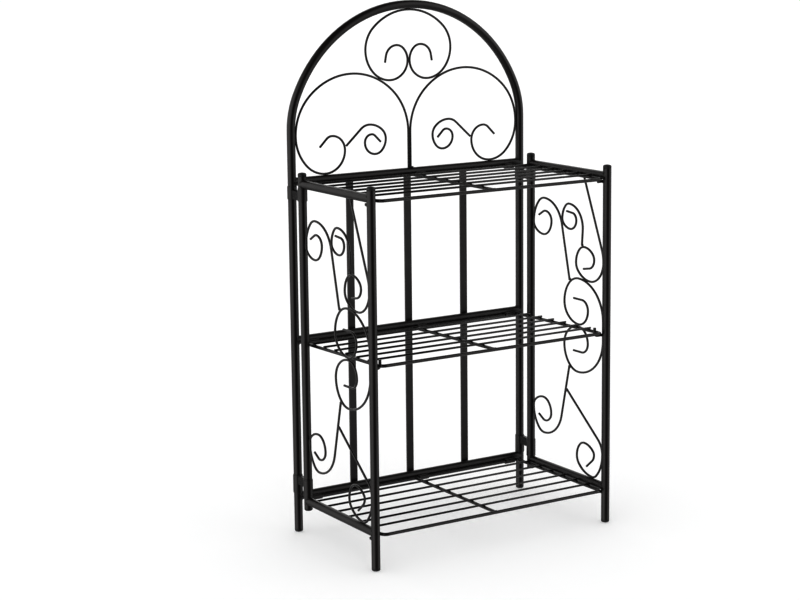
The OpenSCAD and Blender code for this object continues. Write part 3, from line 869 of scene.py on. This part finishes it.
for shelf in SHELVES:
    rail = Vector((0, arch_y, rail_z[shelf]))
    for middle, size in solids_of(f"{shelf}_shelf_hinge_sleeves"):
        towards = (Vector((0, middle.y, middle.z)) - rail).normalized()
        touch = rail + towards * tube_radius + Vector((middle.x, 0, 0))
        up_groove = Vector((0, towards.z, -towards.y))
        seam = size.x - 2 * sleeve_end_left_bare
        for lift in (-sleeve_groove_rise, sleeve_groove_rise):
            level_bead("back_frame", touch + up_groove * lift, seam, sleeve_bead)
print_beads("bars and sleeves done,")

# %% [markdown]
# A hinge strap is two rings with a web between them. The photograph shows its web as a
# rough patch, because the welder ran several short passes over it. So the edges of the
# ring on the arch leg get a bead nearly all round, and the web gets upright passes side
# by side. Three rays shot at the strap halfway between the legs find the web's top, its
# foot and its face.

# %% Welds of the hinge straps
ring_bead = 0.75 * mm
ring_bead_gap = 0.1 * mm
ring_bead_deg = 330
ring_bead_steps = 24
pass_bead = 1.15 * mm
web_passes = 7
clear_of_strap = 50 * mm


def surface_of(node):
    """A node's triangles, ready for rays and for the nearest point."""
    mesh = nodes[node].data
    return BVHTree.FromPolygons(
        [v.co for v in mesh.vertices], [tuple(p.vertices) for p in mesh.polygons]
    )


def web_of(strap, between):
    """Foot and top of a strap's web, and the distance of its face from its middle."""
    skin = surface_of(strap)
    down = Vector((0, 0, -1))
    top = skin.ray_cast(between - down * clear_of_strap, down)[0].z
    foot = skin.ray_cast(between + down * clear_of_strap, -down)[0].z
    beside = Vector((between.x + clear_of_strap, between.y, (foot + top) / 2))
    face = skin.ray_cast(beside, Vector((-1, 0, 0)))[0].x
    return foot, top, face - between.x


def ring_seam(centre, radius):
    turns = [math.radians(ring_bead_deg * s / ring_bead_steps) for s in range(ring_bead_steps + 1)]
    return [centre + radius * Vector((math.cos(a), math.sin(a), 0)) for a in turns]


for side in SIDES:
    for level in ("upper", "lower"):
        low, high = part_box(f"{side}_{level}_hinge_strap")
        ring_radius = (high.x - low.x) / 2
        for z in (low.z, high.z):
            edge = ring_seam(Vector((leg_x[side], arch_y, z)), tube_radius + ring_bead_gap)
            bead("back_frame", edge, ring_bead)
        between = Vector((leg_x[side], (rear_leg_y + arch_y) / 2, (low.z + high.z) / 2))
        foot, top, reach = web_of(f"{side}_{level}_hinge_strap", between)
        first_y = rear_leg_y + ring_radius + pass_bead / 2
        last_y = arch_y - ring_radius
        for i in range(web_passes):
            y = first_y + (last_y - first_y) * i / (web_passes - 1)
            for face in (-1, 1):
                # A pass has sunk into the web by a third of its radius.
                x = leg_x[side] + face * (reach - pass_bead / 3)
                ends = [Vector((x, y, z)) for z in (foot + pass_bead, top - pass_bead)]
                bead("back_frame", ends, pass_bead)
print_beads("straps done,")

# %% [markdown]
# A scroll wire touches its neighbours in single spots. Those spots are found on the
# meshes: the points of one piece that lie closest to the other are gathered into groups,
# and each group gives a place for a short upright bead. One weld shows by itself in the
# photograph: where the two large scrolls come down to the top rail side by side, a drop
# at their foot stands out to the right.

# %% Find where wires touch
spot_bead = 1.35 * mm
spot_length = 3.6 * mm
touching_within = 0.45 * mm
spots_apart = 14 * mm


def touching_spots(node, other):
    skin = surface_of(other)
    groups = []
    for vertex in nodes[node].data.vertices:
        nearest = skin.find_nearest(vertex.co, touching_within)[0]
        if nearest is None:
            continue
        point = (vertex.co + nearest) / 2
        for group in groups:
            if (group[0] - point).length < spots_apart:
                group.append(point)
                break
        else:
            groups.append([point])
    return [sum(group, Vector()) / len(group) for group in groups]


def weld_touching(body, node, other):
    """Puts a short upright bead on each spot where two pieces touch."""
    for spot in touching_spots(node, other):
        half = Vector((0, 0, spot_length / 2))
        bead(body, [spot - half, spot + half], spot_bead)


for side in SIDES:
    for other in ("arch_tube", "back_top_rail", "crown_scroll"):
        weld_touching("back_frame", f"{side}_large_scroll", other)
    weld_touching("back_frame", f"{side}_small_scroll", f"{side}_large_scroll")
    for node, other in (
        ("upper_rear_scroll", "rear_leg"),
        ("upper_rear_scroll", "long_scroll"),
        ("inner_scroll", "upper_rear_scroll"),
        ("inner_scroll", "upper_front_scroll"),
        ("upper_front_scroll", "front_leg"),
        ("upper_front_scroll", "long_scroll"),
        ("upper_front_scroll", "panel_top_rail"),
        ("long_scroll", "front_leg"),
        ("lower_rear_scroll", "rear_leg"),
        ("lower_rear_scroll", "long_scroll"),
        ("lower_front_scroll", "front_leg"),
        ("lower_front_scroll", "panel_bottom_rail"),
        ("lower_front_scroll", "lower_rear_scroll"),
    ):
        weld_touching(f"{side}_panel", f"{side}_{node}", f"{side}_{other}")
weld_touching("back_frame", "crown_scroll", "arch_tube")

drop_z = rail_z["top"] + tube_radius + 0.8 * mm
drop = Vector((scroll_radius, arch_y - scroll_radius, drop_z))
level_bead("back_frame", drop, 3 * scroll_radius, spot_bead)
print_beads("scrolls done,")

# %% [markdown]
# On a shelf, a pulse of current presses each cross wire into the side wires and into the
# brace, and squeezes a little metal out on both sides. The brace ends on the front and
# the rear wire with a short bead on top. Each peg lies against the back of its leg and is
# welded to it above and below.

# %% Welds of the shelves and pegs
pressed_bead = 1.0 * mm
pressed_length = 4.2 * mm
brace_bead = 1.1 * mm
brace_bead_length = 4.4 * mm
brace_bead_rise = 1.5 * mm
for shelf in SHELVES:
    body = f"{shelf}_shelf"
    side_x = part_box(f"{shelf}_shelf_frame")[1].x - shelf_wire_radius
    wire_radius = solids_of(f"{shelf}_shelf_cross_wires")[0][1].y / 2
    for crossing in crossings[shelf]:
        for x in (-side_x, 0, side_x):
            middle = crossing + Vector((x, 0, -wire_radius))
            half = Vector((0, pressed_length / 2, 0))
            bead(body, [middle - half, middle + half], pressed_bead)
    low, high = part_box(f"{shelf}_shelf_brace")
    for y, z in ((low.y, high.z - shelf_wire_radius), (high.y, low.z + shelf_wire_radius)):
        on_top = Vector((0, y, z + brace_bead_rise))
        level_bead(body, on_top, brace_bead_length, brace_bead)

peg_bead = 0.9 * mm
peg_groove_rise = 0.75  # as a share of the peg's radius
for side in SIDES:
    for outer, radius in peg_roots[side]:
        outer_x = abs(outer.x) - peg_bead
        inner_x = abs(leg_x[side]) - tube_radius / 2
        seam_x = math.copysign((outer_x + inner_x) / 2, leg_x[side])
        for lift in (-peg_groove_rise * radius, peg_groove_rise * radius):
            seam = Vector((seam_x, outer.y - radius, outer.z + lift))
            level_bead(f"{side}_panel", seam, outer_x - inner_x, peg_bead)
print_beads("shelves and pegs done,")

# %% [markdown]
# A bead belongs to the body that the welder had on the bench, so all beads of one body
# are grown together as one piece, which moves with that body. The paths become a mesh of
# bare edges, and each point of it carries the radius of its bead.

# %% Grow the welds


def path_mesh(paths):
    mesh = bpy.data.meshes.new("paths")
    points = []
    edges = []
    radii = []
    for path, radius in paths:
        start = len(points)
        points += path
        edges += [(start + i, start + i + 1) for i in range(len(path) - 1)]
        radii += [radius] * len(path)
    mesh.from_pydata(points, edges, [])
    attribute = mesh.attributes.new("bead_radius", "FLOAT", "POINT")
    attribute.data.foreach_set("value", radii)
    return mesh


for body, paths in bead_paths.items():
    welds = grow(
        f"{body}_welds", path_mesh(paths), bead_tree,
        {"Pitch": lump_pitch, "Seed": weld_seed, "Material": weld_coat},
    )
    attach(welds, body)
    print(welds.name, "beads:", len(paths), "faces:", len(welds.data.polygons))

# %% [markdown]
# The stand is shown on a plain white floor that runs out of the picture on all sides. The
# photograph's floor is pure white with only a faint shade under the lowest shelf, as on a
# sheet of acrylic that is lit a little from below. A broad lamp overhead lights it evenly.
# Lamp and floor are kept out of reflections. The tubes in the photograph have dark upper
# edges, and the studio of the next cell has a glow of its own for what faces the floor.

# %% Floor and the light on it
scene = bpy.context.scene
floor_half = 40.0
floor_glow = 0.36
lamp_strength = 0.6
lamp_breadth = math.radians(85)
lamp_tilt = (math.radians(12), math.radians(-8), 0)


def lit_acrylic(name, colour, roughness, glow):
    material, tree = new_material(name)
    shader = add_node(
        tree, "ShaderNodeBsdfPrincipled",
        {"Base Color": linear_colour(colour), "Roughness": roughness,
         "Emission Color": linear_colour("#ffffff"), "Emission Strength": glow},
    )
    add_node(tree, "ShaderNodeOutputMaterial", {"Surface": shader.outputs["BSDF"]})
    return material


corners = [(-1, -1), (1, -1), (1, 1), (-1, 1)]
floor_points = [(x * floor_half, y * floor_half, 0) for x, y in corners]
floor_mesh = bpy.data.meshes.new("floor")
floor_mesh.from_pydata(floor_points, [], [(0, 1, 2, 3)])
acrylic = lit_acrylic("white_acrylic_floor_lit_from_below", "#c6c6c6", 0.9, floor_glow)
floor_mesh.materials.append(acrylic)
floor = new_piece("floor", floor_mesh)
floor.visible_glossy = False
floor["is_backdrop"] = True

overhead = bpy.data.lights.new("overhead_lamp", "SUN")
overhead.energy = lamp_strength
overhead.angle = lamp_breadth
overhead_lamp = bpy.data.objects.new("overhead_lamp", overhead)
overhead_lamp.rotation_euler = lamp_tilt
overhead_lamp.visible_glossy = False
scene.collection.objects.link(overhead_lamp)
print("floor in metres:", 2 * floor_half)

# %% [markdown]
# In the photograph each upright tube has a soft light band on its left, a weaker one on
# its right and a nearly black line between them. So the studio was bright on the left,
# weaker on the right, and dark behind the photographer and overhead. Reflections see that
# studio: soft round lights on a dark ground, each fading from its middle to its rim. One
# is on the left, one in front on the right, two are behind the stand, for the rims of the
# tubes and the views from the back, and a glow lies below, where a tube's underside
# mirrors the floor. Everything else sees a plain white sky, which lights the floor evenly
# and is the background of the picture. The photograph has clean white and deep half
# tones, in which thin wires look as black as tubes. So the plain view is used, with a
# gamma below one that darkens what lies between black and white.

# %% Studio round the stand
world = bpy.data.worlds.new("studio")
world.use_nodes = True
sky = world.node_tree
sky.nodes.clear()
looking = add_node(sky, "ShaderNodeTexCoord").outputs["Generated"]
dark_ground = 0.08
half_tone_gamma = 0.64


def sky_light(heading_deg, rise_deg, core_deg, rim_deg, brightness):
    """A round light: heading from the stand's front towards its right, rise above the floor."""
    heading = math.radians(heading_deg)
    rise = math.radians(rise_deg)
    towards = (
        math.sin(heading) * math.cos(rise), -math.cos(heading) * math.cos(rise), math.sin(rise)
    )
    closeness = add_node(
        sky, "ShaderNodeVectorMath", {0: looking, 1: towards}, operation="DOT_PRODUCT"
    )
    glow = add_node(
        sky, "ShaderNodeMapRange",
        {"Value": closeness.outputs["Value"], "From Min": math.cos(math.radians(rim_deg)),
         "From Max": math.cos(math.radians(core_deg)), "To Max": brightness},
        interpolation_type="SMOOTHSTEP",
    )
    return glow.outputs["Result"]


glows = [
    sky_light(-86, 5, 15, 54, 2.9),  # on the left
    sky_light(-148, 8, 12, 42, 1.4),  # behind, on the left
    sky_light(55, 10, 18, 50, 2.2),  # in front, on the right
    sky_light(150, 15, 12, 48, 1.6),  # behind, on the right
    sky_light(0, -90, 35, 75, 1.3),  # below
]
total = dark_ground
for glow in glows:
    total = add_node(sky, "ShaderNodeMath", {0: total, 1: glow}, operation="ADD").outputs[0]
white = linear_colour("#ffffff")
studio = add_node(sky, "ShaderNodeBackground", {"Color": white, "Strength": total})
plain_white = add_node(sky, "ShaderNodeBackground", {"Color": white, "Strength": 1.0})
path = add_node(sky, "ShaderNodeLightPath").outputs
plain_or_studio = add_node(
    sky, "ShaderNodeMixShader",
    {0: path["Is Glossy Ray"], 1: plain_white.outputs[0], 2: studio.outputs[0]},
)
add_node(sky, "ShaderNodeOutputWorld", {"Surface": plain_or_studio.outputs[0]})
scene.world = world
scene.view_settings.view_transform = "Standard"
scene.view_settings.gamma = half_tone_gamma
print("lights in the studio:", len(glows))

# %% [markdown]
# The finished stand has to be as large as its construction: a detail may sit on a tube,
# but not make the stand wider or taller. So the box of the bare construction, measured at
# the start, and the box of the dressed stand are written down side by side.

# %% Write the sizes and finish
visual_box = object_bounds()
for what, (low, high) in (("construction", cad_box), ("dressed stand", visual_box)):
    print(what, "in mm:", [round(size / mm, 1) for size in Vector(high) - Vector(low)])
